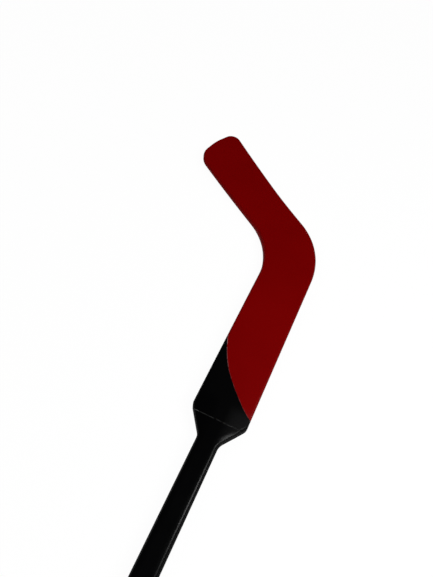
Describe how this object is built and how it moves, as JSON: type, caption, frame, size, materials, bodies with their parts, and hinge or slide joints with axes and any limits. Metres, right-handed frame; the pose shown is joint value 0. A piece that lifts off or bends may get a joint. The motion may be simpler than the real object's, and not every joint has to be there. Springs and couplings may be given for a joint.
{
  "type": "ice hockey goalie stick",
  "caption": "Goalie stick with a wide flat paddle, a curved blade and a slim hollow shaft that flares out into the paddle's shoulders.",
  "frame": {"origin": "on the flat back of the paddle, where the shaft's centre line crosses the line through the paddle's two shoulders", "axes": "+X along the shaft from the butt to the heel, +Y towards the side that the blade turns to, +Z out of the playing face"},
  "size_m": [1.2418, 0.2795, 0.0229],
  "materials": {
    "shaft_composite": "black satin lacquer over moulded composite",
    "joint_filler": "grey matt filler",
    "face_composite": "red satin lacquer over moulded composite, with a black shoulder",
    "plug_rubber": "black moulded rubber",
    "core_wood": "sawn ash",
    "core_foam": "rigid closed-cell foam",
    "dense_foam": "dense rigid foam",
    "edge_strip": "hard fibre-filled strip"
  },
  "bodies": {
    "root": {"shaft_shell": "shaft_composite", "shoulder_joint_bead": "joint_filler", "front_shell": "face_composite", "back_shell": "face_composite", "butt_plug": "plug_rubber", "shaft_tenon": "core_wood", "shoulder_core_toe_side": "core_foam", "shoulder_core_heel_side": "core_foam", "paddle_spine": "core_wood", "paddle_core_toe_side": "core_foam", "paddle_core_heel_side": "core_foam", "paddle_edge_strip_toe_side": "edge_strip", "paddle_edge_strip_heel_side": "edge_strip", "heel_block": "dense_foam", "blade_rib": "core_wood", "blade_core_upper": "core_foam", "blade_core_lower": "core_foam", "blade_top_strip": "edge_strip", "blade_sole_strip": "edge_strip", "toe_insert": "dense_foam"}
  },
  "joints": []
}
